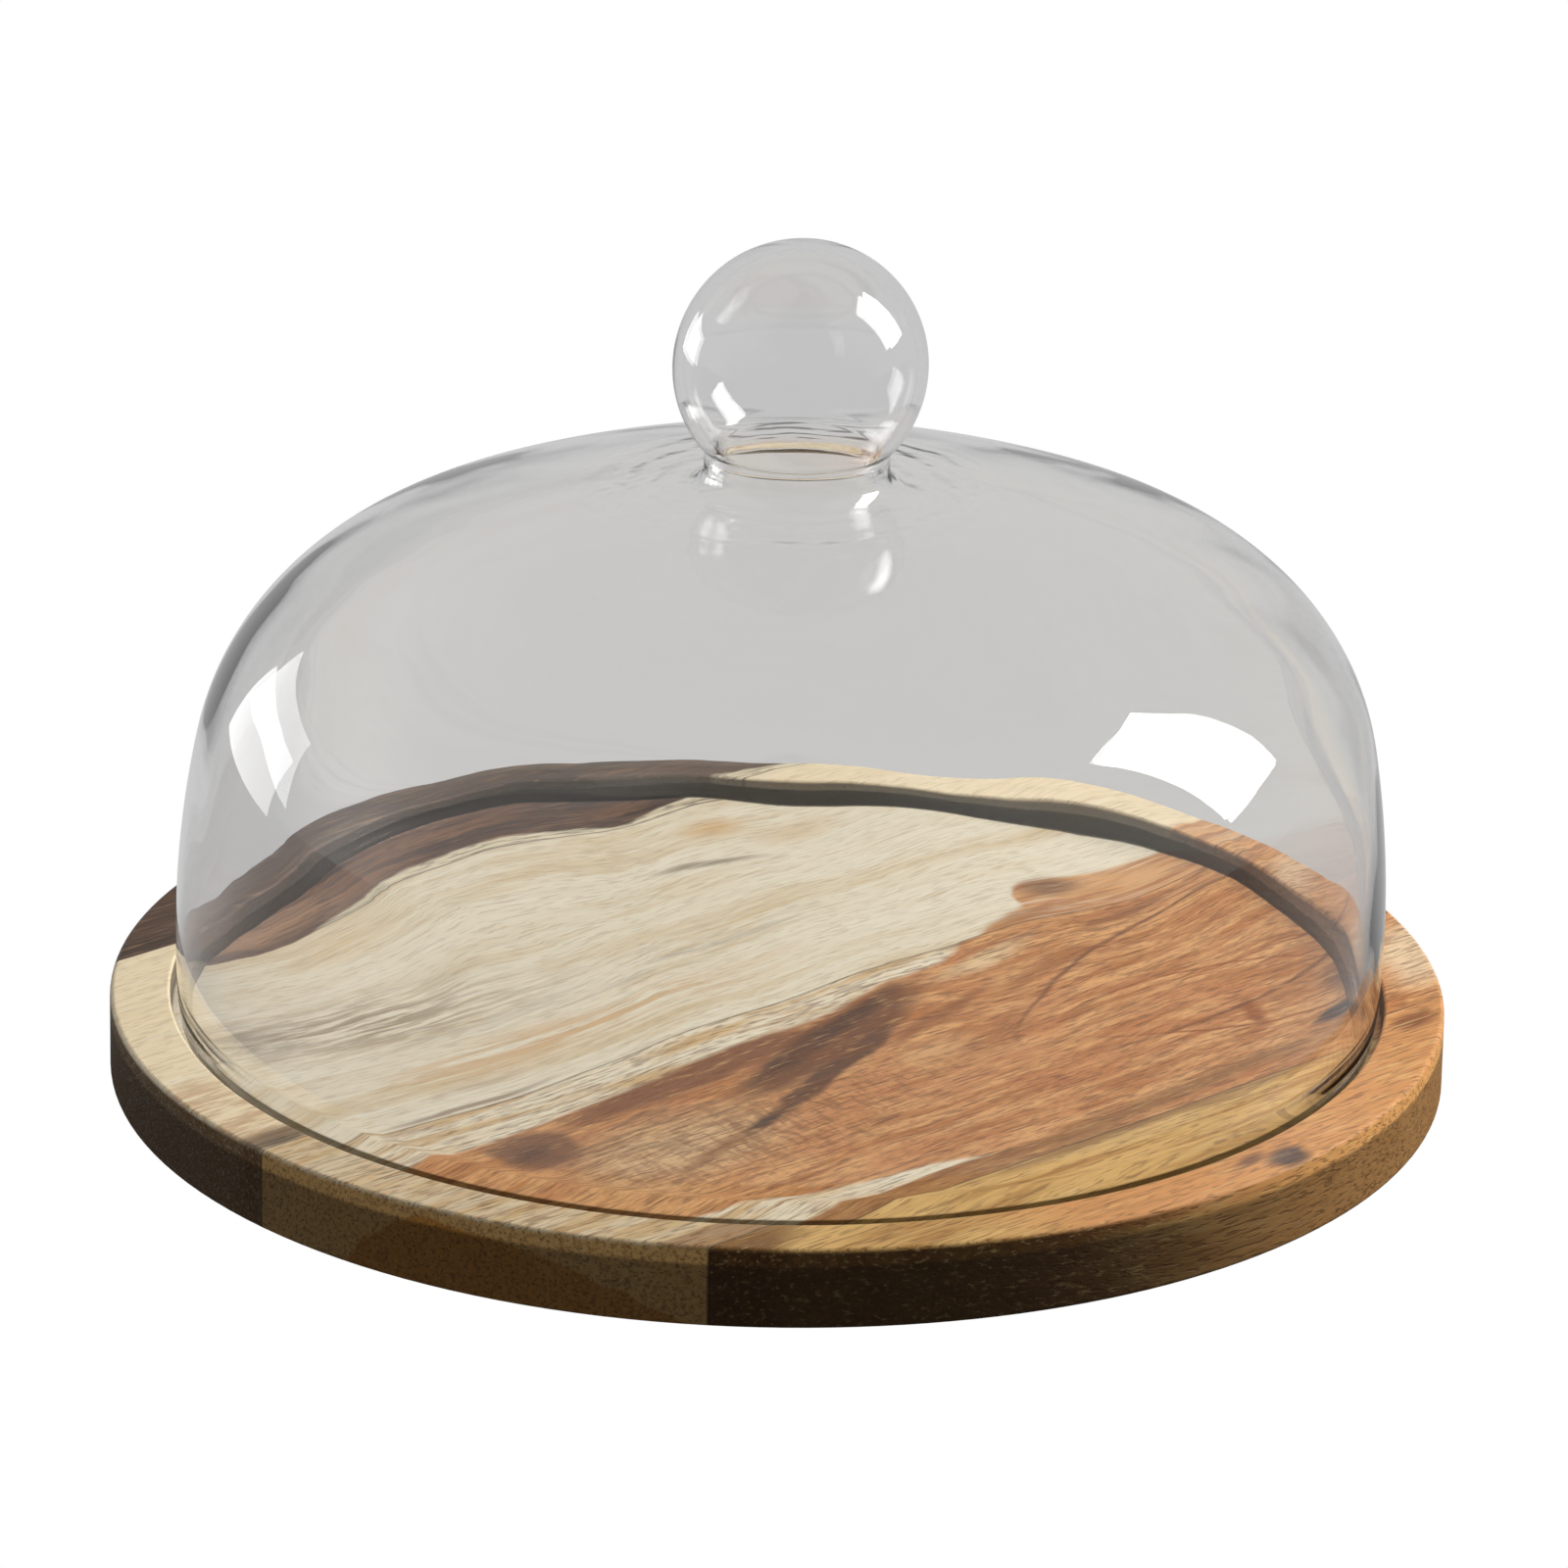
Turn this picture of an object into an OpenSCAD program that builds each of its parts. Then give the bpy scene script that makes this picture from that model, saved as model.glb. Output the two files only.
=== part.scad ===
// Glass food dome on a round serving board.
// The board is glued up from four planks (staves) and turned to a disc with a shallow recess.
// The dome is blown glass: a shell with a wall and a crown, and a hollow ball on a neck to lift it by.
// Origin: centre of the board's underside. +Z is up and the planks run along X.

/* [Board] */
// Diameter of the board
board_d = 300; // [280:1:340]
// Thickness of the board at its rim
board_t = 18.5; // [16:0.5:24]
// Diameter of the recess that the dome stands in
recess_d = 273; // [272:1:276]
// Depth of the recess below the rim
recess_depth = 5; // [3:0.5:8]
// Rounding of the board's outer edges
edge_r = 1.2; // [0.6:0.1:2.5]
// Rounding of the lip of the recess
lip_r = 0.8; // [0.4:0.1:1.5]

/* [Planks] */
// Joint between the dark back plank and the pale plank, measured from the centre line
back_joint_y = 106; // [95:1:115]
// Joint between the pale plank and the heartwood plank
middle_joint_y = 0; // [-10:1:10]
// Joint between the heartwood plank and the front plank
front_joint_y = -101; // [-110:1:-92]

/* [Glass dome] */
// Thickness of the blown glass
glass_t = 2.4; // [1.8:0.1:4.5]
// Height of the crown above the foot of the glass, without the neck and the ball
crown_h = 125.5; // [115:0.5:135]
// Radius of the gently domed crown
crown_r = 254; // [245:1:265]
// Angle that the crown covers from the middle outwards
crown_angle = 22.2; // [21:0.1:23]
// Radius of the shoulder
shoulder_r = 58.7; // [57:0.1:60]
// Angle from the upright at which the shoulder meets the wall
shoulder_angle = 79; // [78:0.5:80]
// Radius of the slight bulge of the wall
wall_r = 223; // [200:1:260]
// Thickness of the fire-polished foot of the glass
foot_t = 4; // [3:0.1:7]

/* [Knob] */
// Diameter of the hollow ball
ball_d = 56.4; // [50:0.2:60]
// Height of the ball's centre above the crown
ball_lift = 26; // [25:0.5:30]
// Outer diameter of the neck below the ball
neck_d = 41.2; // [38:0.2:44]
// Rounding between the neck and the crown
neck_fillet = 4.5; // [3:0.5:8]
// Rounding between the neck and the ball
ball_fillet = 3; // [2:0.5:5]

/* [Hidden] */

board_r = board_d / 2;
recess_r = recess_d / 2;
floor_z = board_t - recess_depth;
corner_r = 1.5;              // rounding at the foot of the recess wall
foot_r = 1.5;                // rounding of the glass foot
foot_blend = 9;              // height over which the foot thins to the wall
arc_steps = 6;               // steps in a small rounding
neck_seam = 4.4;             // height above the crown where the knob is fused to the shell

crown_z = floor_z + crown_h;
crown_cz = crown_z - crown_r;
shoulder_c = [(crown_r - shoulder_r) * sin(crown_angle), crown_cz + (crown_r - shoulder_r) * cos(crown_angle)];
ball_r = ball_d / 2;
ball_z = crown_z + ball_lift;
neck_r = neck_d / 2;

// Points along an arc about c, from angle a0 to angle a1, both measured from the +X axis
function arc(c, r, a0, a1, steps) =
    [for (i = [0:steps]) let (a = a0 + (a1 - a0) * i / steps) c + r * [cos(a), sin(a)]];

// Half outline of the board, from the middle of the underside to the middle of the recess
function board_outline() = concat(
    [[0, 0]],
    arc([board_r - edge_r, edge_r], edge_r, -90, 0, arc_steps),
    arc([board_r - edge_r, board_t - edge_r], edge_r, 0, 90, arc_steps),
    arc([recess_r + lip_r, board_t - lip_r], lip_r, 90, 180, arc_steps),
    arc([recess_r - corner_r, floor_z + corner_r], corner_r, 0, -90, arc_steps),
    [[0, floor_z]]);

// Centre of the wall's arcs, which run smoothly out of the shoulder
wall_c = shoulder_c + (shoulder_r - wall_r) * [sin(shoulder_angle), cos(shoulder_angle)];

// Height of a fillet's centre that rolls on a circle of radius r about [0, cz], on the side given
function fillet_z(cz, r, x, side) = cz + side * sqrt(pow(r, 2) - pow(x, 2));

// One skin of the glass, from just above its foot to the top of the ball.
// inset is 0 for the outer skin and glass_t for the inner one.
function skin(inset, z0) = let (
    r = wall_r - inset,
    nf = neck_fillet + inset,
    bf = ball_fillet + inset,
    nx = neck_r - inset,
    nc = [nx + nf, fillet_z(crown_cz, crown_r - inset + nf, nx + nf, 1)],
    bc = [nx + bf, fillet_z(ball_z, ball_r - inset + bf, nx + bf, -1)],
    crown_end = atan2(nc[1] - crown_cz, nc[0]),
    ball_start = atan2(bc[1] - ball_z, bc[0]))
    concat(
        arc(wall_c, r, asin((z0 - wall_c[1]) / r), 90 - shoulder_angle, 10),
        arc(shoulder_c, shoulder_r - inset, 90 - shoulder_angle + 5, 90 - crown_angle, 12),
        arc([0, crown_cz], crown_r - inset, 90 - crown_angle + 1.5, crown_end, 10),
        arc(nc, nf, crown_end + 180 - 12, 180, arc_steps),
        arc(bc, bf, 180 + 1, ball_start + 180, arc_steps),
        arc([0, ball_z], ball_r - inset, ball_start + 4, 90, 24));

function reversed(points) = [for (i = [len(points) - 1:-1:0]) points[i]];

// Half section of the whole glass piece
function glass_outline() = let (
    outer_x = wall_c[0] + sqrt(pow(wall_r, 2) - pow(floor_z - wall_c[1], 2)),
    inner_x = outer_x - foot_t)
    concat(
        arc([outer_x - foot_r, floor_z + foot_r], foot_r, -90, 0, arc_steps),
        skin(0, floor_z + foot_r + 1),
        reversed(skin(glass_t, floor_z + foot_blend)),
        arc([inner_x + foot_r, floor_z + foot_r], foot_r, 180, 270, arc_steps));

module board_blank() {
    rotate_extrude($fn = 180)
        polygon(board_outline());
}

// The part of the turned board between two joint lines
module stave(y_low, y_high) {
    intersection() {
        board_blank();
        translate([-board_d, y_low, -board_t])
            cube([2 * board_d, y_high - y_low, 3 * board_t]);
    }
}

// The part of the glass between two heights
module glass(z_low, z_high) {
    color([0.80, 0.84, 0.85, 0.35])
        intersection() {
            rotate_extrude($fn = 180)
                polygon(glass_outline());
            translate([-board_r, -board_r, z_low])
                cube([board_d, board_d, z_high - z_low]);
        }
}

module glass_dome() {
    glass(0, crown_z + neck_seam);
}

module glass_knob() {
    glass(crown_z + neck_seam, 2 * crown_z);
}

module back_stave() {
    color([0.27, 0.16, 0.10])
        stave(back_joint_y, board_d);
}

module pale_stave() {
    color([0.86, 0.79, 0.64])
        stave(middle_joint_y, back_joint_y);
}

module heart_stave() {
    color([0.76, 0.54, 0.34])
        stave(front_joint_y, middle_joint_y);
}

module front_stave() {
    color([0.66, 0.50, 0.27])
        stave(-board_d, front_joint_y);
}

glass_dome();
glass_knob();
back_stave();
pale_stave();
heart_stave();
front_stave();
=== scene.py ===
"""Glass food dome on a round board of four planks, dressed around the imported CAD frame.

Lengths in the shape and material code are millimetres; metres() turns them into Blender's metres.
"""

import math

import bpy
from mathutils import Matrix, Vector


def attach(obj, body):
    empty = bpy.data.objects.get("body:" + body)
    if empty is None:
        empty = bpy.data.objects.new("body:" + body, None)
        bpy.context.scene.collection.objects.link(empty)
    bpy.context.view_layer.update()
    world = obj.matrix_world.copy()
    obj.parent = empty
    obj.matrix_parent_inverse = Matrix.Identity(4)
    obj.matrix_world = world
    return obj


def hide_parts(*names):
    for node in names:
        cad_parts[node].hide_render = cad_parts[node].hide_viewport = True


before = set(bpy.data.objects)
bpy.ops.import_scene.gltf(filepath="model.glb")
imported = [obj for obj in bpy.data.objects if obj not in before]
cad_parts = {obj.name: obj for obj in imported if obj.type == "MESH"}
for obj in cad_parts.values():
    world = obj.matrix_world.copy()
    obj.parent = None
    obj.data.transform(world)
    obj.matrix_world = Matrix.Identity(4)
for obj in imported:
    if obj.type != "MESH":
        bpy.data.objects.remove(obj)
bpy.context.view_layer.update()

# Board, as in the CAD part
BOARD_R = 150.0
RECESS_R = 136.5
FLOOR_Z = 13.5               # top of the recess floor
RIM_Z = 18.5                 # top of the rim around the recess
BACK_JOINT = 106.0
MIDDLE_JOINT = 0.0
FRONT_JOINT = -101.0

# Glass, as in the CAD part
GLASS_T = 2.4
CROWN_Z = 139.0
CROWN_R = 254.0
CROWN_ANGLE = 22.2
SHOULDER_R = 58.7
SHOULDER_ANGLE = 79.0
WALL_R = 223.0
FOOT_T = 4.0
FOOT_R = 1.5
FOOT_BLEND = 9.0
BALL_R = 28.2
BALL_Z = 165.0
NECK_R = 20.6
NECK_FILLET = 4.5
BALL_FILLET = 3.0
GLASS_SIDES = 240
ON_AXIS = 1e-6               # a ring smaller than this is one point at the top of the ball
CALM_R = 12.0                # nearer the axis than this the glass gets more even

# How the hand-blown dome differs from a perfect turned shape
LEAN = 0.018                 # sideways per unit of height
LEAN_TOWARDS = -42.5         # degrees round from +X
HEAVY_SIDE = math.radians(165)   # where the wall grew thicker below the shoulder
HEAVY_EXTRA = 2.2
LIGHT_SIDE = math.radians(300)   # where it grew thinner
LIGHT_LOSS = 0.5

# Camera
VIEW_AZIMUTH = -42.5         # degrees round the object
VIEW_ELEVATION = 20.87
VIEW_DISTANCE = 2.2          # metres
VIEW_HEIGHT = 0.06           # metres, of the point that it circles
VIEW_TURN = (-0.018, 0.164, 0.999)   # last small turns: pan, tilt, roll, in degrees
LENS = 225.8

# Studio, in metres
LOOK_AT = Vector((0, 0, 0.08))   # what the lamps point at
FLOOR_HALF = 3.0
FLOOR_DROP = 0.0003          # keeps the floor just under the board

# How bright the backdrop is to each kind of ray; 1 is white
TO_CAMERA = 1.0
THROUGH_GLASS = 0.57
AS_LAMP = 0.15
ROOM_ABOVE = 0.66            # in reflections: overhead
ROOM_BEYOND = 0.62           # in reflections: low down, beyond the object
ROOM_NEAR = 0.03             # in reflections: low down, on the camera's side


def metres(x, y, z):
    """A point given in millimetres, in metres."""
    return Vector((x, y, z)) * 0.001


def linear(red, green, blue):
    """A colour given as 0 to 255 screen values, as the linear values that nodes use."""
    def one(v):
        v = v / 255
        return v / 12.92 if v <= 0.04045 else ((v + 0.055) / 1.055) ** 2.4
    return (one(red), one(green), one(blue), 1.0)


# ---------------------------------------------------------------- glass shape

def arc(centre, radius, start, end, steps):
    """Points on an arc in the half section, angles in degrees from the outward direction."""
    points = []
    for i in range(steps + 1):
        a = math.radians(start + (end - start) * i / steps)
        points.append((centre[0] + radius * math.cos(a), centre[1] + radius * math.sin(a)))
    return points


def turned(centre, length, degrees):
    """The point at that length from centre, in degrees from the upright."""
    a = math.radians(degrees)
    return (centre[0] + length * math.sin(a), centre[1] + length * math.cos(a))


def angle_to(point, centre):
    return math.degrees(math.atan2(point[1] - centre[1], point[0] - centre[0]))


CROWN_C = (0.0, CROWN_Z - CROWN_R)
SHOULDER_C = turned(CROWN_C, CROWN_R - SHOULDER_R, CROWN_ANGLE)
BALL_C = (0.0, BALL_Z)
WALL_C = turned(SHOULDER_C, SHOULDER_R - WALL_R, SHOULDER_ANGLE)
FOOT_OUTER_R = WALL_C[0] + math.sqrt(WALL_R ** 2 - (FLOOR_Z - WALL_C[1]) ** 2)
FOOT_INNER_R = FOOT_OUTER_R - FOOT_T


def skin(inset, bottom):
    """One skin of the glass from just above its foot to the top of the ball."""
    neck_r = NECK_R - inset
    crown_r = CROWN_R - inset
    ball_r = BALL_R - inset
    crown_fillet = NECK_FILLET + inset
    ball_fillet = BALL_FILLET + inset
    x = neck_r + crown_fillet
    low_c = (x, CROWN_C[1] + math.sqrt((crown_r + crown_fillet) ** 2 - x ** 2))
    x = neck_r + ball_fillet
    high_c = (x, BALL_Z - math.sqrt((ball_r + ball_fillet) ** 2 - x ** 2))
    crown_end = angle_to(low_c, CROWN_C)
    ball_start = angle_to(high_c, BALL_C)
    wall_r = WALL_R - inset
    wall_start = math.degrees(math.asin((bottom - WALL_C[1]) / wall_r))
    return (
        arc(WALL_C, wall_r, wall_start, 90 - SHOULDER_ANGLE, 40)
        + arc(SHOULDER_C, SHOULDER_R - inset, 92 - SHOULDER_ANGLE, 90 - CROWN_ANGLE, 34)
        + arc(CROWN_C, crown_r, 90.5 - CROWN_ANGLE, crown_end, 34)
        + arc(low_c, crown_fillet, crown_end + 172, 180, 10)
        + arc(high_c, ball_fillet, 178, ball_start + 180, 10)
        + arc(BALL_C, ball_r, ball_start + 2, 90, 48)
    )


def glass_section():
    """The closed half section in two runs: up the outside from the foot, then down the inside."""
    outer = arc((FOOT_OUTER_R - FOOT_R, FLOOR_Z + FOOT_R), FOOT_R, -90, 0, 8)
    outer += skin(0, FLOOR_Z + FOOT_R + 1)
    inner = skin(GLASS_T, FLOOR_Z + FOOT_BLEND)[::-1]
    inner += arc((FOOT_INNER_R + FOOT_R, FLOOR_Z + FOOT_R), FOOT_R, 180, 270, 8)
    return outer, inner


def smooth(value, low, high):
    """0 at low, 1 at high, smooth between; low may be the larger."""
    t = max(0.0, min(1.0, (value - low) / (high - low)))
    return t * t * (3 - 2 * t)


def unevenness(turn, height, inside):
    """How far a hand-made skin lies outside the perfect one; nothing at the foot, little on the crown."""
    rise = smooth(height, FLOOR_Z, FLOOR_Z + 80)
    wall = 0.08 + 0.92 * smooth(height, CROWN_Z - 6, CROWN_Z - 38)
    if inside:
        wave = (0.25 * math.sin(turn + 0.6 + height / 60) + 0.16 * math.sin(3 * turn + height / 23)
                + 0.12 * math.sin(8 * turn - height / 11 + 2.0) + 0.04 * math.sin(17 * turn + height / 6))
        heavy = HEAVY_EXTRA * smooth(math.cos(turn - HEAVY_SIDE), 0.62, 0.85)
        light = LIGHT_LOSS * smooth(math.cos(turn - LIGHT_SIDE), 0.75, 0.95)
        wave -= (heavy - light) * smooth(height, CROWN_Z - 11, CROWN_Z - 85)
    else:
        wave = (0.20 * math.sin(2 * turn + 1.1 + height / 70) + 0.10 * math.sin(4 * turn - height / 30)
                + 0.06 * math.sin(7 * turn + height / 17 + 0.7))
    return wave * rise * wall


def normals(points):
    """Unit normals along an open line of points, to the right of its direction."""
    found = []
    for i in range(len(points)):
        a = points[max(0, i - 1)]
        b = points[min(len(points) - 1, i + 1)]
        dx, dz = b[0] - a[0], b[1] - a[1]
        size = math.hypot(dx, dz)
        found.append((dz / size, -dx / size))
    return found


def make_glass():
    outer, inner = glass_section()
    rings = []
    for points, inside in ((outer, False), (inner, True)):
        for (r, z), (nr, nz) in zip(points, normals(points)):
            rings.append((r, z, nr, nz, inside))
    lean_x = LEAN * math.cos(math.radians(LEAN_TOWARDS))
    lean_y = LEAN * math.sin(math.radians(LEAN_TOWARDS))
    vertices = []
    first = []
    for r, z, nr, nz, inside in rings:
        first.append(len(vertices))
        on_axis = r < ON_AXIS
        for k in range(1 if on_axis else GLASS_SIDES):
            turn = 2 * math.pi * k / GLASS_SIDES
            off = 0.0 if on_axis else unevenness(turn, z, inside) * min(1.0, r / CALM_R)
            if inside:
                off = -off
            rr = r + nr * off
            zz = z + nz * off
            up = zz - FLOOR_Z
            x = rr * math.cos(turn) + lean_x * up
            y = rr * math.sin(turn) + lean_y * up
            vertices.append(metres(x, y, zz))
    faces = []
    for i in range(len(rings)):
        j = (i + 1) % len(rings)
        single_i = rings[i][0] < ON_AXIS
        single_j = rings[j][0] < ON_AXIS
        if single_i and single_j:
            continue
        for k in range(GLASS_SIDES):
            m = (k + 1) % GLASS_SIDES
            if single_j:
                faces.append((first[i] + k, first[i] + m, first[j]))
            elif single_i:
                faces.append((first[i], first[j] + m, first[j] + k))
            else:
                faces.append((first[i] + k, first[i] + m, first[j] + m, first[j] + k))
    mesh = bpy.data.meshes.new("blown_dome")
    mesh.from_pydata(vertices, [], faces)
    for polygon in mesh.polygons:
        polygon.use_smooth = True
    mesh.update()
    dome = bpy.data.objects.new("blown_dome", mesh)
    bpy.context.scene.collection.objects.link(dome)
    return dome


# ---------------------------------------------------------------- materials

class Graph:
    """Short ways to add nodes to a node tree."""

    def __init__(self, tree):
        self.tree = tree

    def node(self, kind):
        return self.tree.nodes.new(kind)

    def put(self, socket, value):
        if isinstance(value, bpy.types.NodeSocket):
            self.tree.links.new(value, socket)
        else:
            socket.default_value = value

    def vector(self, operation, a, b):
        node = self.node("ShaderNodeVectorMath")
        node.operation = operation
        self.put(node.inputs[0], a)
        self.put(node.inputs[1], b)
        return node.outputs[0]

    def math(self, operation, a, b=0.0, c=0.0):
        node = self.node("ShaderNodeMath")
        node.operation = operation
        self.put(node.inputs[0], a)
        self.put(node.inputs[1], b)
        self.put(node.inputs[2], c)
        return node.outputs[0]

    def times(self, a, b):
        return self.math("MULTIPLY", a, b)

    def axes(self, point):
        node = self.node("ShaderNodeSeparateXYZ")
        self.put(node.inputs[0], point)
        return node.outputs

    def radius(self, point):
        """The point's distance from the Z axis."""
        x, y, _ = self.axes(point)
        return self.math("SQRT", self.math("ADD", self.times(x, x), self.times(y, y)))

    def step(self, value, low, high):
        """0 below low, 1 above high, smooth between; low may be the larger."""
        node = self.node("ShaderNodeMapRange")
        node.interpolation_type = "SMOOTHSTEP"
        self.put(node.inputs["Value"], value)
        swapped = low > high
        node.inputs["From Min"].default_value = high if swapped else low
        node.inputs["From Max"].default_value = low if swapped else high
        node.inputs["To Min"].default_value = 1.0 if swapped else 0.0
        node.inputs["To Max"].default_value = 0.0 if swapped else 1.0
        return node.outputs["Result"]

    def blend(self, a, b, mask):
        """A number that goes from a to b with the mask."""
        node = self.node("ShaderNodeMix")
        self.put(node.inputs[0], mask)
        self.put(node.inputs[2], a)
        self.put(node.inputs[3], b)
        return node.outputs[0]


class Paint(Graph):
    """Builds one procedural material. Its point is in millimetres in the board's own frame."""

    def __init__(self, name):
        self.material = bpy.data.materials.new(name)
        self.material.use_nodes = True
        super().__init__(self.material.node_tree)
        self.shader = self.tree.nodes["Principled BSDF"]
        place = self.node("ShaderNodeTexCoord")
        self.point = self.vector("MULTIPLY", place.outputs["Object"], (1000, 1000, 1000))
        self.seed = 0

    def noise(self, lengths, detail=2.0, roughness=0.5, point=None, colour=False):
        """Noise whose features are about that many millimetres along X, Y and Z."""
        self.seed += 1
        scaled = self.vector("MULTIPLY", point or self.point, tuple(1 / v for v in lengths))
        moved = self.vector("ADD", scaled, (17.3 * self.seed, 5.1 * self.seed, 9.7 * self.seed))
        node = self.node("ShaderNodeTexNoise")
        self.put(node.inputs["Vector"], moved)
        node.inputs["Scale"].default_value = 1.0
        node.inputs["Detail"].default_value = detail
        node.inputs["Roughness"].default_value = roughness
        return node.outputs["Color" if colour else 0]

    def warped(self, size, lengths, detail=2.0, point=None):
        """The point pushed about by up to half of size, in waves of those lengths."""
        push = self.vector("SUBTRACT", self.noise(lengths, detail, colour=True), (0.5, 0.5, 0.5))
        push = self.vector("MULTIPLY", push, size)
        return self.vector("ADD", point or self.point, push)

    def over(self, below, colour, mask, strength=1.0):
        """The colour below with another laid over it where the mask is 1."""
        node = self.node("ShaderNodeMix")
        node.data_type = "RGBA"
        self.put(node.inputs[0], mask if strength == 1.0 else self.times(mask, strength))
        self.put(node.inputs[6], below)
        self.put(node.inputs[7], colour)
        return node.outputs[2]

    def patch(self, point, start, end, width, soft=0.5):
        """A mask, 1 in the middle of a long spot from start to end in X and Y, 0 outside its width."""
        middle = ((start[0] + end[0]) / 2, (start[1] + end[1]) / 2)
        half = max(0.1, math.dist(start, end) / 2)
        turn = math.atan2(end[1] - start[1], end[0] - start[0])
        x, y, _ = self.axes(point)
        dx = self.math("SUBTRACT", x, middle[0])
        dy = self.math("SUBTRACT", y, middle[1])
        along = self.math("ADD", self.times(dx, math.cos(turn) / half),
                          self.times(dy, math.sin(turn) / half))
        across = self.math("SUBTRACT", self.times(dy, math.cos(turn) * 2 / width),
                           self.times(dx, math.sin(turn) * 2 / width))
        away = self.math("SQRT", self.math("ADD", self.times(along, along),
                                           self.times(across, across)))
        return self.step(away, 1.0, 1.0 - soft)

    def above(self, point, line, soft):
        """A mask, 1 where the point is on the +Y side of a line through those (x, y) points."""
        x, y, _ = self.axes(point)
        curve = self.node("ShaderNodeFloatCurve")
        low = -160.0   # the curve's own 0 to 1 stands for low to low + span
        span = 320.0
        self.put(curve.inputs["Value"], self.math("MULTIPLY_ADD", x, 1 / span, -low / span))
        points = curve.mapping.curves[0].points
        places = [((px - low) / span, (py - low) / span) for px, py in line]
        while len(points) < len(places):
            points.new(0.5, 0.5)
        for p, place in zip(points, places):
            p.location = place
        curve.mapping.update()
        edge = self.math("MULTIPLY_ADD", curve.outputs[0], span, low)
        return self.step(self.math("SUBTRACT", y, edge), -soft, soft)

    def bump(self, height, distance, strength):
        """Raises the surface with height, by up to that distance in millimetres."""
        node = self.node("ShaderNodeBump")
        node.inputs["Distance"].default_value = distance * 0.001
        node.inputs["Strength"].default_value = strength
        self.put(node.inputs["Height"], height)
        self.put(self.shader.inputs["Normal"], node.outputs["Normal"])


def recess_shade_masks(paint):
    """Painted shade: 1 on the upright wall of the recess, and 1 in the corner at that wall's foot, where
    the board's own shade falls.
    """
    _, _, z = paint.axes(paint.point)
    radius = paint.radius(paint.point)
    wall = paint.times(paint.step(z, RIM_Z - 0.2, RIM_Z - 0.9),
                       paint.step(z, FLOOR_Z + 0.1, FLOOR_Z + 0.6))
    wall = paint.times(wall, paint.step(radius, RECESS_R + 6.5, RECESS_R + 3.5))
    shaded_corner = paint.times(paint.step(radius, RECESS_R - 2.5, RECESS_R),
                         paint.step(z, FLOOR_Z + 1.5, FLOOR_Z + 0.3))
    return wall, shaded_corner


def grained(paint, colour, dark, pore, light, joints, length=34, strength=1.0):
    """Lays the fine grain, the pores and the glue lines over a plank, paints shade on the recess wall and
    in the corner at its foot, and finishes its surface.
    """
    flow = paint.warped((0, 5, 3), (90, 30, 30), 1.0)
    lines = paint.step(paint.noise((length, 1.2, 1.2), 3.0, 0.7, flow), 0.46, 0.64)
    pores = paint.step(paint.noise((6, 0.7, 0.7), 1.0, 0.5, flow), 0.53, 0.66)
    pale = paint.step(paint.noise((length / 2, 1.0, 1.0), 2.0, 0.6, flow), 0.55, 0.72)
    colour = paint.over(colour, dark, lines, 0.42 * strength)
    colour = paint.over(colour, light, pale, 0.45)
    colour = paint.over(colour, pore, pores, 0.5 * strength)
    _, y, _ = paint.axes(paint.point)
    for joint in joints:
        near = paint.step(paint.math("ABSOLUTE", paint.math("SUBTRACT", y, joint)), 0.45, 0.1)
        colour = paint.over(colour, linear(60, 40, 26), near, 0.6)
    wall, shaded_corner = recess_shade_masks(paint)
    # Painted shade: darkens the recess wall and the corner at its foot.
    colour = paint.over(colour, linear(44, 32, 20), wall, 0.86)
    colour = paint.over(colour, linear(60, 44, 28), shaded_corner, 0.6)
    paint.put(paint.shader.inputs["Base Color"], colour)
    shine = paint.noise((25, 6, 6), 3.0)
    paint.put(paint.shader.inputs["Roughness"], paint.math("MULTIPLY_ADD", shine, 0.25, 0.36))
    paint.bump(paint.math("MULTIPLY_ADD", pores, -1.0, paint.times(lines, -0.3)), 0.15, 0.5)
    paint.shader.inputs["Specular IOR Level"].default_value = 0.25
    return paint.material


def strands(paint, point, length, width, low=0.48, high=0.62):
    """A mask of wavy threads of darker or lighter wood along the grain."""
    return paint.step(paint.noise((length, width, width), 4.0, 0.62, point), low, high)


def marked(paint, colour, marks, point):
    """Paints long spots over the colour: each is start, end, width, colour, strength and softness."""
    for start, end, width, tint, strength, soft in marks:
        colour = paint.over(colour, linear(*tint), paint.patch(point, start, end, width, soft), strength)
    return colour


def rim_mask(paint, point):
    """1 on the raised rim and the outer edge, 0 on the recess floor."""
    return paint.step(paint.axes(point)[2], FLOOR_Z + 1, FLOOR_Z + 3)


def edge_mask(paint):
    """1 on the upright outer edge below its rounded top."""
    _, _, z = paint.axes(paint.point)
    upright = paint.step(paint.radius(paint.point), BOARD_R - 1.4, BOARD_R - 0.6)
    return paint.times(upright, paint.step(z, RIM_Z - 0.3, RIM_Z - 1.3))


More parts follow.
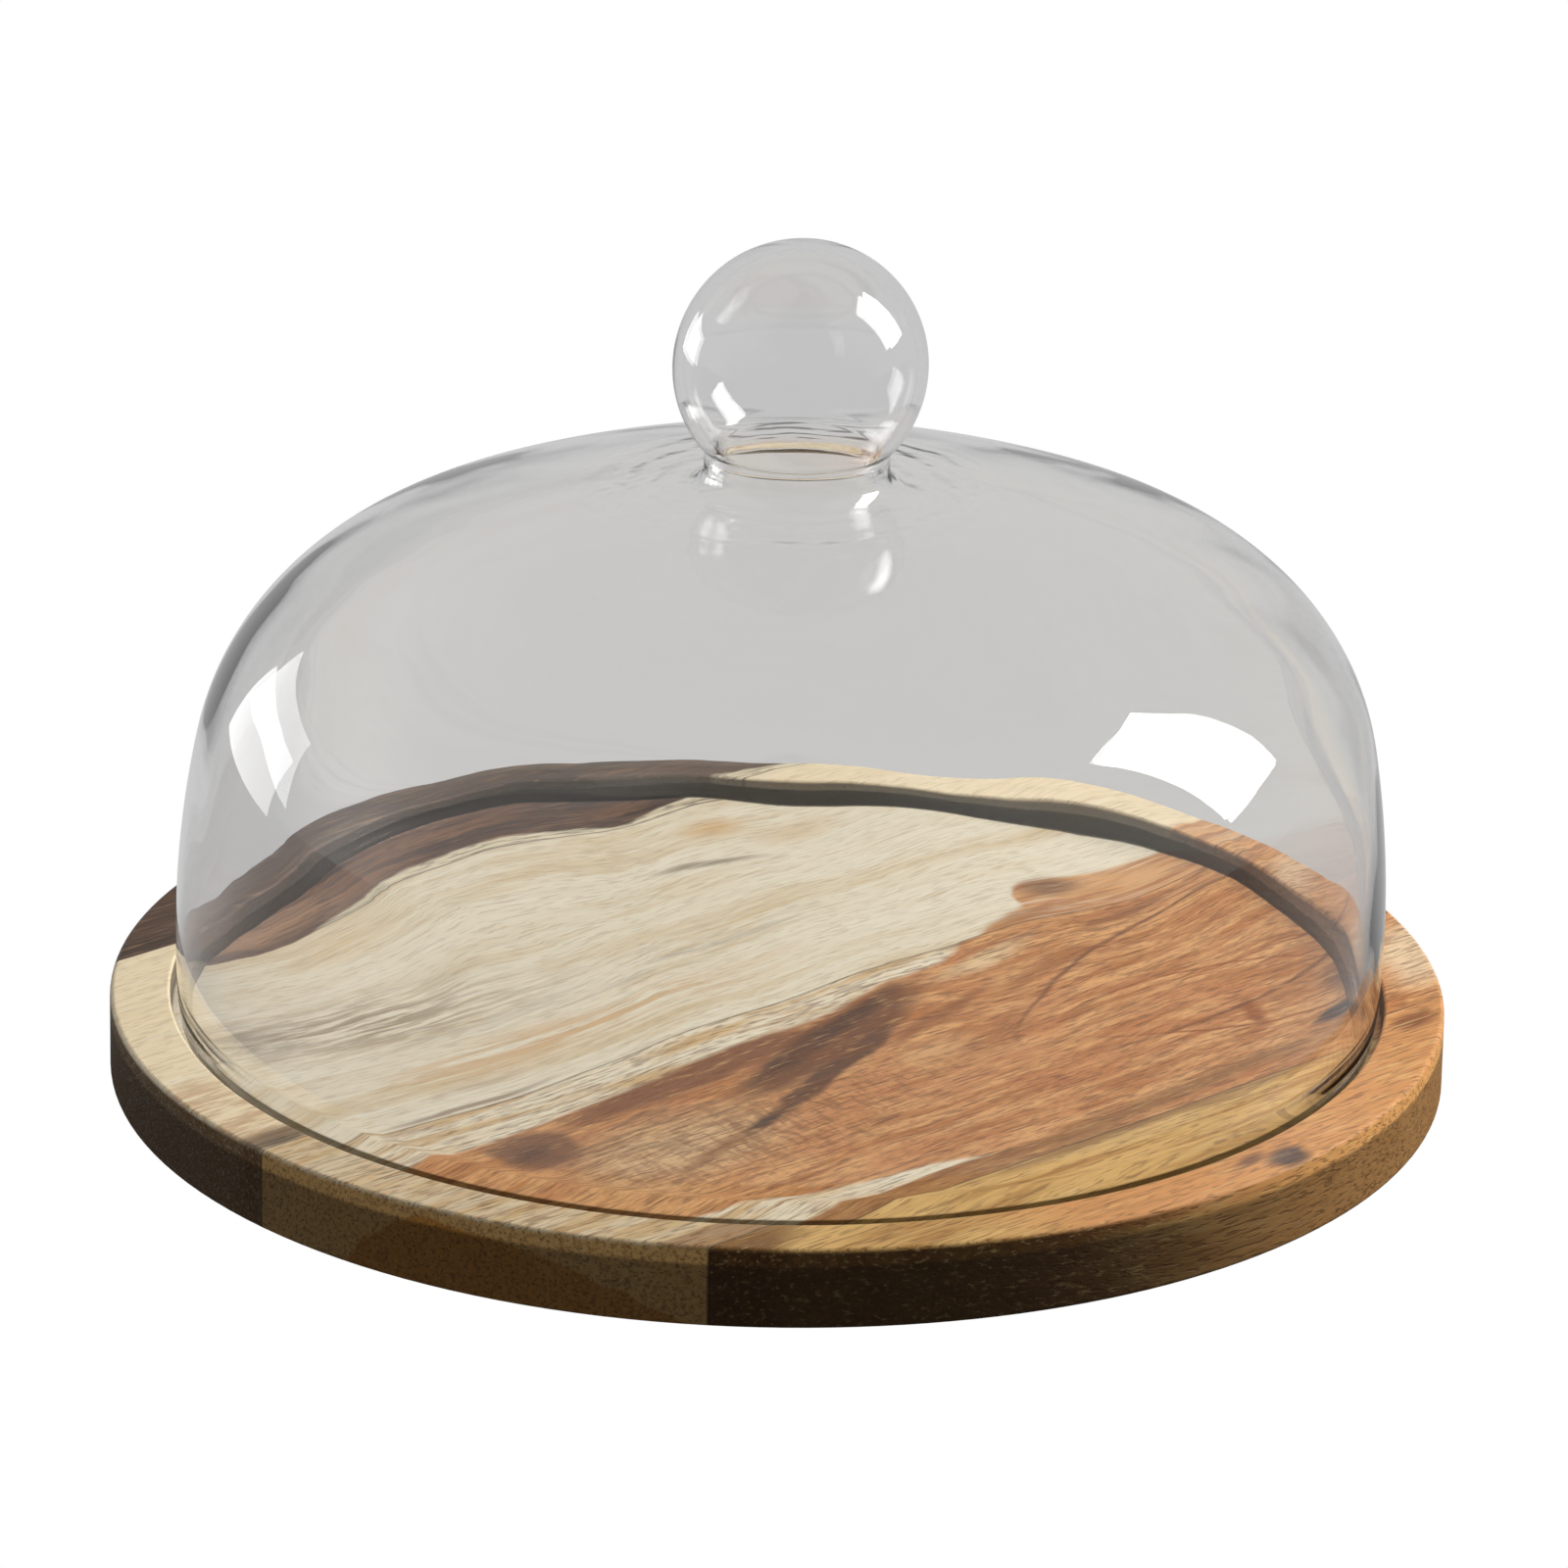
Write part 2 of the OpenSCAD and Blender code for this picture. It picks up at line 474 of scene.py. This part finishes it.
def pale_wood():
    paint = Paint("pale_sapwood")
    flow = paint.warped((6, 12, 8), (80, 34, 34), 3.0)
    torn = paint.warped((8, 3, 3), (20, 9, 9), 3.0)
    broad = strands(paint, flow, 110, 10, 0.42, 0.68)
    colour = paint.over(linear(244, 233, 208), linear(226, 204, 164), broad)
    grey = paint.times(paint.patch(flow, (-132, 62), (-16, 50), 52, 0.9),
                       strands(paint, torn, 22, 2.2, 0.38, 0.58))
    colour = paint.over(colour, linear(150, 128, 100), grey, 0.85)
    core = paint.times(paint.patch(flow, (-124, 60), (-84, 60), 36, 0.9),
                       strands(paint, torn, 16, 2.2, 0.36, 0.56))
    colour = paint.over(colour, linear(112, 90, 66), core, 0.7)
    faint = paint.times(paint.patch(flow, (-70, 38), (70, 42), 30, 0.9),
                        strands(paint, torn, 34, 2.4))
    colour = paint.over(colour, linear(168, 156, 138), faint, 0.55)
    yellow = paint.times(paint.patch(flow, (-136, 24), (50, 20), 30, 0.9),
                         strands(paint, torn, 44, 3.2, 0.40, 0.58))
    colour = paint.over(colour, linear(216, 170, 112), yellow, 0.75)
    colour = marked(paint, colour, (
        ((46, 92), (78, 94), 16, (218, 176, 116), 0.75, 0.9),
        ((58, 80), (100, 84), 16, (222, 192, 148), 0.6, 0.9),
        ((26, 82), (66, 72), 5, (138, 124, 104), 0.8, 0.8),
        ((-70, 92), (-30, 96), 22, (232, 206, 160), 0.6, 0.9),
        ((-122, 1), (-56, 3), 3.5, (132, 104, 84), 0.8, 0.8),
        ((-100, 10), (-60, 12), 5, (190, 164, 132), 0.6, 0.9),
    ), torn)
    rim = rim_mask(paint, torn)
    colour = paint.over(colour, linear(255, 234, 194), rim, 0.85)
    tan = paint.times(paint.patch(flow, (-170, 18), (-120, 18), 62, 0.6),
                      strands(paint, torn, 18, 2.0, 0.40, 0.58))
    colour = paint.over(colour, linear(190, 140, 88), paint.times(tan, rim), 0.65)
    colour = marked(paint, colour, (
        ((-158, 4), (-128, 4), 11, (104, 80, 62), 0.85, 0.6),
        ((-158, 2), (-128, 2), 5, (58, 44, 34), 0.7, 0.7),
    ), torn)
    heart = paint.above(torn, (
        (-150, -40), (55, -12), (66, 1), (76, 5), (84, 8), (89, 16), (100, 18), (112, 16), (150, 17),
    ), 1.2)
    heart = paint.math("SUBTRACT", 1.0, heart)
    broad = strands(paint, flow, 34, 3.0, 0.42, 0.62)
    orange = paint.over(linear(226, 170, 114), linear(180, 116, 66), broad)
    colour = paint.over(colour, orange, heart)
    colour = marked(paint, colour, (
        ((84, 13), (112, 14), 14, (112, 68, 34), 0.85, 0.8),
        ((64, 1), (92, 5), 9, (150, 98, 54), 0.6, 0.8),
    ), torn)
    colour = paint.over(colour, linear(122, 84, 40), edge_mask(paint), 0.9)
    return grained(paint, colour, linear(208, 184, 144), linear(180, 152, 114), linear(252, 246, 230),
                   (BACK_JOINT, MIDDLE_JOINT), 50, 0.6)


def heart_wood():
    paint = Paint("orange_heartwood")
    flow = paint.warped((6, 10, 8), (70, 30, 30), 3.0)
    torn = paint.warped((8, 4, 4), (20, 9, 9), 3.0)
    broad = strands(paint, flow, 40, 5.0, 0.42, 0.64)
    colour = paint.over(linear(230, 172, 114), linear(186, 120, 64), broad)
    blotch = paint.step(paint.noise((26, 14, 14), 2.0, 0.5, flow), 0.46, 0.64)
    colour = paint.over(colour, linear(204, 134, 82), blotch, 0.6)
    tan = paint.patch(flow, (-112, -50), (-30, -44), 46, 0.8)
    colour = paint.over(colour, linear(226, 192, 146), tan, 0.85)
    speckle = strands(paint, flow, 4.5, 1.1, 0.50, 0.62)
    colour = paint.over(colour, linear(144, 90, 50), speckle, 0.4)
    fleck = paint.times(paint.patch(flow, (-122, -60), (40, -44), 54, 0.8),
                        strands(paint, paint.warped((4, 4, 4), (9, 9, 9)), 1.8, 8.0, 0.46, 0.62))
    colour = paint.over(colour, linear(140, 94, 50), fleck, 0.6)
    thread = paint.times(paint.patch(flow, (-112, -40), (-30, -34), 44, 0.8),
                         strands(paint, torn, 22, 1.6, 0.50, 0.60))
    colour = paint.over(colour, linear(116, 84, 54), thread, 0.6)
    colour = marked(paint, colour, (
        ((-92, -22), (6, -14), 18, (128, 80, 46), 0.95, 0.45),
        ((-52, -39), (42, -8), 20, (104, 62, 30), 0.95, 0.45),
        ((-46, -34), (36, -8), 8, (66, 38, 18), 0.9, 0.6),
        ((-56, -52), (26, -20), 8, (76, 44, 22), 0.95, 0.5),
        ((-86, -60), (-44, -46), 6, (150, 104, 62), 0.8, 0.8),
        ((-10, -38), (60, -16), 6, (150, 94, 52), 0.8, 0.8),
        ((-4, -52), (50, -36), 14, (166, 104, 58), 0.7, 0.9),
        ((30, -14), (80, -5), 9, (240, 210, 164), 0.8, 0.8),
        ((-30, -62), (50, -52), 16, (214, 150, 100), 0.7, 0.9),
        ((-58, -52), (-38, -44), 5, (52, 34, 24), 0.9, 0.7),
        ((30, -28), (90, -14), 8, (156, 98, 48), 0.7, 0.9),
        ((70, -12), (136, 0), 5, (140, 84, 40), 0.8, 0.8),
        ((-4, -44), (26, -38), 16, (226, 176, 122), 0.7, 0.9),
        ((-108, -30), (-83, -26), 24, (112, 76, 50), 0.9, 0.35),
        ((-104, -31), (-90, -26), 12, (74, 48, 34), 0.8, 0.8),
        ((74, -82), (86, -64), 8, (150, 80, 22), 0.95, 0.8),
        ((62, -82), (80, -80), 5, (160, 92, 34), 0.8, 0.8),
        # Painted shade: the brownish mark from (98, -78) to (122, -66), beside the dark knot.
        ((98, -78), (122, -66), 18, (96, 66, 54), 0.75, 0.9),
        ((84, -88), (106, -83), 7, (34, 32, 36), 0.95, 0.5),
        ((104, -98), (146, -58), 24, (244, 218, 180), 0.85, 0.7),
        ((124, -46), (152, -16), 16, (238, 210, 172), 0.75, 0.8),
        ((-30, -97), (110, -91), 10, (136, 94, 48), 0.75, 0.8),
    ), torn)
    for middle, half, width, lift, tint in (
        ((96, -40), 76, 50, 16, (112, 64, 30)),
        ((80, -62), 42, 36, -12, (146, 78, 30)),
        ((82, -62), 34, 26, -12, (176, 112, 56)),
    ):
        dx = half * math.cos(math.radians(lift))
        dy = half * math.sin(math.radians(lift))
        ends = ((middle[0] - dx, middle[1] - dy), (middle[0] + dx, middle[1] + dy))
        inner = paint.patch(flow, *ends, width, 0.05)
        wider = paint.patch(flow, *ends, width * 1.05, 0.05)
        colour = paint.over(colour, linear(*tint), paint.math("SUBTRACT", wider, inner), 0.9)
    cream = paint.above(torn, (
        (-150, -19), (-120, -18), (-100, -17.5), (-75, -16), (-50, -15), (-25, -13.5),
        (0, -12), (24, -8), (50, -4), (62, 3), (68, 6), (150, 30),
    ), 1.2)
    sliver = paint.above(torn, (
        (-150, -66), (-103, -76), (-90, -79), (-73, -83), (-50, -87), (-25, -92), (-8, -97), (150, -118),
    ), 1.0)
    under = paint.above(torn, (
        (-150, -92), (-103, -93), (-73, -95), (-50, -94), (-25, -93), (-8, -94), (150, -94),
    ), 0.8)
    cream = paint.math("MAXIMUM", cream, paint.times(paint.math("SUBTRACT", 1.0, sliver), under))
    x, _, z = paint.axes(torn)
    rim = rim_mask(paint, torn)
    cream = paint.math("MAXIMUM", cream, paint.times(rim, paint.step(x, -40, -70)))
    broad = strands(paint, flow, 50, 4, 0.42, 0.66)
    cream_colour = paint.over(linear(246, 234, 206), linear(222, 190, 140), broad)
    cream_colour = paint.over(cream_colour, linear(206, 178, 130), rim, 0.5)
    colour = paint.over(colour, cream_colour, cream)
    brown = paint.times(paint.math("SUBTRACT", 1.0, under), paint.step(x, 30, 0))
    colour = paint.over(colour, linear(150, 106, 58), brown, 0.7)
    front = paint.times(edge_mask(paint), paint.step(x, 0, -20))
    upright = paint.node("ShaderNodeCombineXYZ")
    paint.put(upright.inputs[0], paint.axes(torn)[1])
    paint.put(upright.inputs[1], z)
    sap = paint.above(upright.outputs[0], (
        (-120, -6), (-101, -1), (-90, 5), (-75, 11), (-55, 15), (-42, 15),
        (-32, 8), (-25, -1), (-10, -20), (0, -20),
    ), 0.7)
    side = paint.over(linear(230, 160, 70), linear(255, 204, 128), sap)
    colour = paint.over(colour, side, front, 0.95)
    back = paint.times(edge_mask(paint), paint.step(x, 0, 20))
    swirl = paint.step(paint.math("SINE", paint.times(x, 1.2)), 0.0, 0.8)
    swirl = paint.times(swirl, paint.step(z, 18, 2))
    side = paint.over(linear(186, 132, 82), linear(150, 76, 36), swirl)
    colour = paint.over(colour, side, back, 0.8)
    return grained(paint, colour, linear(140, 84, 38), linear(104, 60, 28), linear(238, 188, 124),
                   (MIDDLE_JOINT, FRONT_JOINT), 16)


def dark_wood():
    paint = Paint("dark_heartwood")
    flow = paint.warped((6, 12, 8), (90, 30, 30), 3.0)
    torn = paint.warped((8, 4, 4), (20, 9, 9), 3.0)
    broad = strands(paint, flow, 90, 6, 0.42, 0.62)
    colour = paint.over(linear(120, 84, 56), linear(62, 42, 28), broad)
    colour = marked(paint, colour, (
        ((-96, 112), (-20, 118), 18, (172, 130, 90), 0.75, 0.9),
        ((10, 122), (76, 122), 16, (70, 58, 50), 0.8, 0.9),
        ((-130, 108), (-70, 109), 8, (46, 30, 20), 0.8, 0.8),
    ), torn)
    rim = rim_mask(paint, torn)
    colour = paint.over(colour, linear(54, 36, 22), rim, 0.7)
    edge = paint.above(torn, (
        (-150, 100), (-60, 104), (-40, 108), (-22, 111), (2, 111), (32, 109), (45, 107),
        (58, 110), (80, 111), (100, 109), (150, 108),
    ), 0.8)
    colour = paint.over(colour, linear(236, 222, 190), paint.math("SUBTRACT", 1.0, edge))
    return grained(paint, colour, linear(50, 34, 22), linear(36, 24, 16), linear(168, 126, 88),
                   (BACK_JOINT,))


def olive_wood():
    paint = Paint("olive_heartwood")
    flow = paint.warped((6, 10, 8), (90, 30, 30), 3.0)
    torn = paint.warped((8, 3, 3), (20, 9, 9), 3.0)
    broad = strands(paint, flow, 90, 5, 0.44, 0.64)
    colour = paint.over(linear(226, 184, 116), linear(184, 136, 74), broad)
    x, _, _ = paint.axes(torn)
    rim = rim_mask(paint, torn)
    orange = paint.times(rim, paint.step(x, -66, -34))
    colour = paint.over(colour, linear(216, 150, 92), orange, 0.9)
    colour = marked(paint, colour, (
        ((-60, -103), (90, -101), 7, (134, 94, 50), 0.75, 0.8),
        ((-128, -103), (-84, -106), 22, (120, 82, 42), 0.9, 0.6),
        ((-96, -118), (-50, -124), 16, (176, 126, 66), 0.7, 0.8),
        ((86, -109), (104, -106), 10, (132, 74, 40), 0.9, 0.7),
        ((100, -112), (140, -92), 12, (232, 188, 138), 0.7, 0.9),
        ((12, -134), (26, -133), 5, (84, 50, 40), 0.85, 0.8),
        ((10, -147), (26, -143), 11, (40, 30, 36), 0.95, 0.6),
        ((2, -143), (18, -139), 6, (96, 58, 46), 0.85, 0.8),
    ), torn)
    # Painted shade and painted light on the upright edge: darker to the left, where it faces away from the
    # lamps, lighter to the right, where the window lamp falls.
    painted_edge_shade = paint.times(edge_mask(paint), paint.step(x, 5, -50))
    colour = paint.over(colour, linear(84, 54, 26), painted_edge_shade, 0.9)
    # Painted light on the right part of the upright edge.
    glow = paint.times(edge_mask(paint), paint.step(x, -30, 30))
    colour = paint.over(colour, linear(250, 184, 112), glow, 0.9)
    return grained(paint, colour, linear(150, 104, 50), linear(112, 74, 36), linear(240, 204, 140),
                   (FRONT_JOINT,))


def clear_glass():
    """Clear glass that lets the lamps' light through, with a painted shadow line along its foot."""
    paint = Paint("clear_glass")
    shader = paint.shader
    path = paint.node("ShaderNodeLightPath")
    _, _, z = paint.axes(paint.point)
    radius = paint.radius(paint.point)

    # Painted shadow: a dark line inside the foot, where the glass meets the board.
    painted_foot_shadow = paint.times(paint.step(z, FLOOR_Z + 4.7, FLOOR_Z + 4.1),
                       paint.step(radius, FOOT_INNER_R + 2.4, FOOT_INNER_R + 1.4))
    painted_foot_shadow = paint.times(painted_foot_shadow, paint.step(z, FLOOR_Z + 0.4, FLOOR_Z + 0.9))
    painted_foot_shadow = paint.times(painted_foot_shadow, paint.math("LESS_THAN", path.outputs["Glossy Depth"], 0.5))
    colour = paint.over((0.99, 0.99, 0.99, 1.0), (0.03, 0.025, 0.015, 1.0), painted_foot_shadow)
    paint.put(shader.inputs["Base Color"], colour)
    shader.inputs["Transmission Weight"].default_value = 1.0
    shader.inputs["IOR"].default_value = 1.5

    haze = paint.step(paint.noise((14, 14, 14), 3.0, 0.6), 0.45, 0.9)
    paint.put(shader.inputs["Roughness"], paint.times(haze, 0.02))
    waves = paint.noise((22, 22, 30), 1.0, 0.4)
    turning = paint.math("MULTIPLY_ADD", paint.noise((16, 16, 9), 2.0, 0.6), 9.0, paint.times(radius, 0.8))
    near_neck = paint.times(paint.step(radius, 54, 34), paint.step(z, CROWN_Z - 11, CROWN_Z - 5))
    near_neck = paint.times(near_neck, paint.step(z, CROWN_Z + 5, CROWN_Z + 1))
    rings = paint.times(paint.math("SINE", turning), near_neck)
    paint.bump(paint.math("MULTIPLY_ADD", rings, 0.35, waves), 0.25, 0.35)

    clear = paint.node("ShaderNodeBsdfTransparent")
    clear.inputs[0].default_value = (0.985, 0.985, 0.985, 1.0)
    mix = paint.node("ShaderNodeMixShader")
    lit = paint.math("MAXIMUM", path.outputs["Is Shadow Ray"], path.outputs["Is Diffuse Ray"])
    paint.put(mix.inputs[0], lit)
    paint.put(mix.inputs[1], shader.outputs[0])
    paint.put(mix.inputs[2], clear.outputs[0])
    output = paint.tree.nodes["Material Output"]
    paint.put(output.inputs["Surface"], mix.outputs[0])
    return paint.material


def dress(name, material):
    """Gives a CAD node its material."""
    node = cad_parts[name]
    node.data.materials.clear()
    node.data.materials.append(material)


# ---------------------------------------------------------------- studio

def around(turn, lift, distance):
    """A point seen from LOOK_AT: turn degrees to the right of straight away from the camera."""
    away = math.radians(90 + VIEW_AZIMUTH - turn)
    up = math.radians(lift)
    direction = Vector((math.cos(away) * math.cos(up), math.sin(away) * math.cos(up), math.sin(up)))
    return direction * distance + LOOK_AT


def studio_grey(graph, mirrored):
    """Strength of the backdrop for each kind of ray; mirrored is what shines in the glass."""
    path = graph.node("ShaderNodeLightPath")
    strength = graph.blend(AS_LAMP, mirrored, path.outputs["Is Glossy Ray"])
    strength = graph.blend(strength, THROUGH_GLASS, path.outputs["Is Transmission Ray"])
    return graph.blend(strength, TO_CAMERA, path.outputs["Is Camera Ray"])


def nearness(graph, direction):
    """1 for a level direction that points to the camera's side, -1 for one that points away from it."""
    level = graph.node("ShaderNodeVectorMath")
    level.operation = "NORMALIZE"
    graph.put(level.inputs[0], graph.vector("MULTIPLY", direction, (1, 1, 0)))
    facing = graph.node("ShaderNodeVectorMath")
    facing.operation = "DOT_PRODUCT"
    graph.put(facing.inputs[0], level.outputs[0])
    graph.put(facing.inputs[1], tuple(around(180, 0, 1.0) - LOOK_AT))
    return facing.outputs["Value"]


def mirrored_room(graph):
    """The room that shows as reflections: bright above and beyond, dim low down on the camera's side."""
    direction = graph.node("ShaderNodeTexCoord").outputs["Generated"]
    near = nearness(graph, direction)
    low = graph.blend(ROOM_BEYOND, ROOM_NEAR, graph.step(near, 0.1, 0.6))
    room = graph.blend(low, ROOM_ABOVE, graph.step(graph.axes(direction)[2], -0.05, 0.65))
    dark = graph.times(graph.step(near, 0.5, 0.95), 0.92)
    return graph.times(room, graph.math("SUBTRACT", 1.0, dark))


def make_backdrop():
    world = bpy.data.worlds.new("studio")
    world.use_nodes = True
    graph = Graph(world.node_tree)
    background = world.node_tree.nodes["Background"]
    background.inputs["Color"].default_value = (1, 1, 1, 1)
    graph.put(background.inputs["Strength"], studio_grey(graph, mirrored_room(graph)))
    bpy.context.scene.world = world

    material = bpy.data.materials.new("pale_floor")
    material.use_nodes = True
    graph = Graph(material.node_tree)
    glow = graph.node("ShaderNodeEmission")
    place = graph.node("ShaderNodeNewGeometry").outputs["Position"]
    beyond = graph.blend(ROOM_BEYOND, ROOM_NEAR, graph.step(nearness(graph, place), -0.6, 0.1))
    graph.put(glow.inputs["Strength"], studio_grey(graph, beyond))
    graph.put(material.node_tree.nodes["Material Output"].inputs["Surface"], glow.outputs[0])
    corners = []
    for x, y in ((-1, -1), (1, -1), (1, 1), (-1, 1)):
        corners.append((x * FLOOR_HALF, y * FLOOR_HALF, -FLOOR_DROP))
    mesh = bpy.data.meshes.new("floor")
    mesh.from_pydata(corners, [], [(0, 1, 2, 3)])
    mesh.materials.append(material)
    floor = bpy.data.objects.new("floor", mesh)
    bpy.context.scene.collection.objects.link(floor)


def softbox(name, place, width, height, strength, colour=(1, 1, 1)):
    """A rectangular lamp that points at LOOK_AT; strength is its brightness."""
    data = bpy.data.lights.new(name, "AREA")
    data.shape = "RECTANGLE"
    data.size = width
    data.size_y = height
    data.energy = strength * math.pi * width * height
    data.color = colour
    lamp = bpy.data.objects.new(name, data)
    lamp.location = place
    lamp.rotation_mode = "QUATERNION"
    lamp.rotation_quaternion = (LOOK_AT - place).to_track_quat("-Z", "Y")
    lamp.visible_camera = False
    bpy.context.scene.collection.objects.link(lamp)
    return lamp


def make_lamps():
    softbox("window_right", around(77, 31.5, 1.35), 0.5, 0.86, 14.5, (1.0, 0.985, 0.96))
    left = softbox("window_left", around(-56, 2, 1.3), 0.6, 0.48, 3.0)
    left.visible_diffuse = False
    above = softbox("overhead", around(0, 75, 1.3), 1.1, 1.1, 1.3, (0.97, 0.98, 1.0))
    above.visible_glossy = False
    above.visible_transmission = False


def make_camera():
    data = bpy.data.cameras.new("camera")
    data.lens = LENS
    data.sensor_width = 36.0
    data.clip_start = 0.05
    data.clip_end = 50.0
    camera = bpy.data.objects.new("camera", data)
    a, e = math.radians(VIEW_AZIMUTH), math.radians(VIEW_ELEVATION)
    back = Vector((math.sin(a) * math.cos(e), -math.cos(a) * math.cos(e), math.sin(e)))
    pan, tilt, roll = (math.radians(v) for v in VIEW_TURN)
    camera.rotation_mode = "QUATERNION"
    turn = Matrix.Rotation(pan, 3, "Y") @ Matrix.Rotation(tilt, 3, "X") @ Matrix.Rotation(roll, 3, "Z")
    camera.rotation_quaternion = (-back).to_track_quat("-Z", "Y") @ turn.to_quaternion()
    camera.location = Vector((0, 0, VIEW_HEIGHT)) + back * VIEW_DISTANCE
    bpy.context.scene.collection.objects.link(camera)
    bpy.context.scene.camera = camera


# ---------------------------------------------------------------- build

glass = make_glass()
glass.data.materials.append(clear_glass())
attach(glass, "dome")
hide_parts("glass_dome", "glass_knob")

dress("back_stave", dark_wood())
dress("pale_stave", pale_wood())
dress("heart_stave", heart_wood())
dress("front_stave", olive_wood())

make_backdrop()
make_lamps()
make_camera()
bpy.context.scene.view_settings.view_transform = "Standard"
bpy.context.scene.cycles.max_bounces = 32
bpy.context.scene.cycles.transmission_bounces = 32
bpy.context.scene.cycles.transparent_max_bounces = 32
